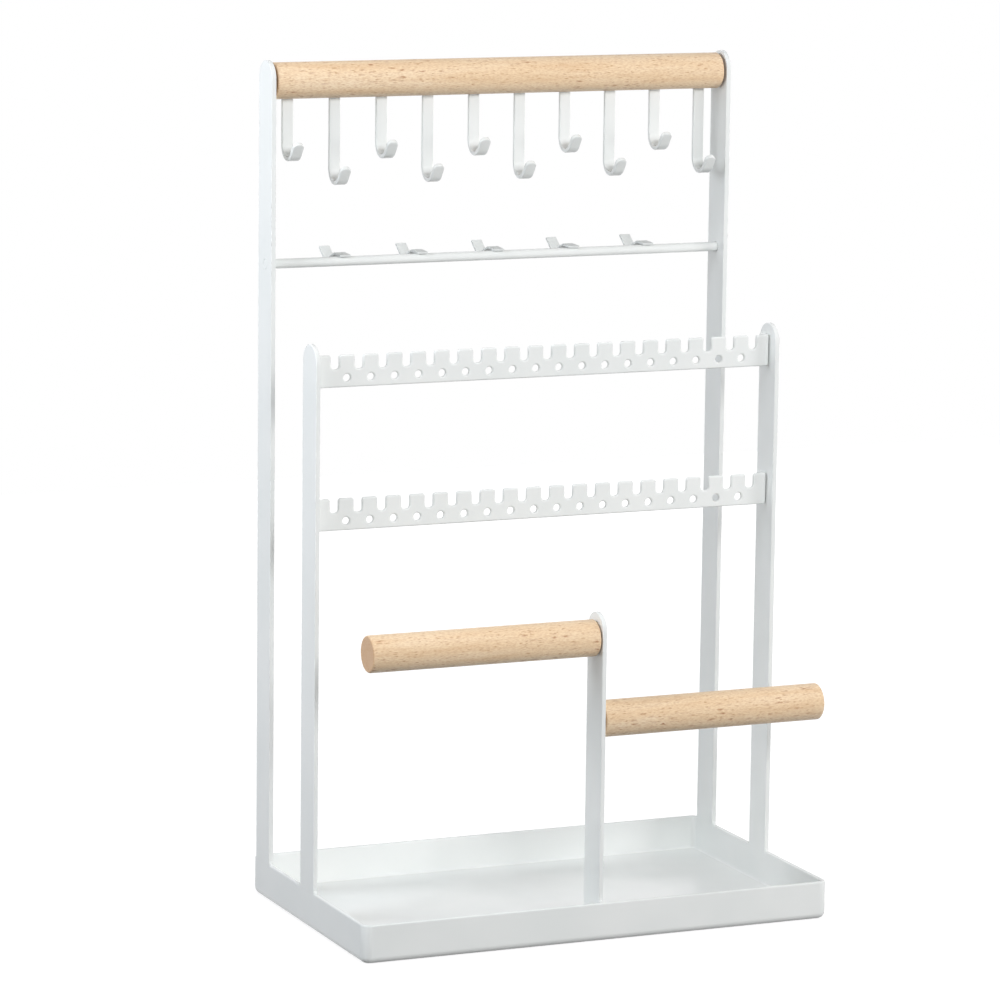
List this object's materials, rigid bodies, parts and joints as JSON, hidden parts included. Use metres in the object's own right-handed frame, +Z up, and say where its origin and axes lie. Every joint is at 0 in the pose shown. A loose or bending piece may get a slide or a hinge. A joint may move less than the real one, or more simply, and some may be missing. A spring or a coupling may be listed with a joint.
{
  "type": "jewelry stand",
  "caption": "Free-standing jewelry stand: shallow tray, flat uprights, hook bar for necklaces, clip rod, pierced earring rails and bracelet bars.",
  "frame": {"origin": "middle of the tray's underside, on the face it rests on", "axes": "+Z up, -Y to the front where the bracelet bars are, +X to the right seen from the front"},
  "size_m": [0.22, 0.1453, 0.373],
  "materials": {
    "white_powder_coat": "satin white powder coat",
    "beech": "sanded, clear matt lacquer",
    "zinc_plated_steel": "turned and zinc plated"
  },
  "bodies": {
    "root": {"tray": "white_powder_coat", "rear_upright_left": "white_powder_coat", "rear_upright_right": "white_powder_coat", "front_upright_left": "white_powder_coat", "front_upright_right": "white_powder_coat", "centre_post": "white_powder_coat", "rod": "white_powder_coat", "hook_1": "white_powder_coat", "hook_2": "white_powder_coat", "hook_3": "white_powder_coat", "hook_4": "white_powder_coat", "hook_5": "white_powder_coat", "hook_6": "white_powder_coat", "hook_7": "white_powder_coat", "hook_8": "white_powder_coat", "hook_9": "white_powder_coat", "hook_10": "white_powder_coat", "clip_1": "white_powder_coat", "clip_2": "white_powder_coat", "clip_3": "white_powder_coat", "clip_4": "white_powder_coat", "clip_5": "white_powder_coat", "upper_rail": "white_powder_coat", "lower_rail": "white_powder_coat", "top_bar": "beech", "upper_bracelet_bar": "beech", "lower_bracelet_bar": "beech", "top_bar_stud_left": "zinc_plated_steel", "top_bar_stud_right": "zinc_plated_steel", "upper_bracelet_stud": "zinc_plated_steel", "lower_bracelet_stud": "zinc_plated_steel"}
  },
  "joints": []
}
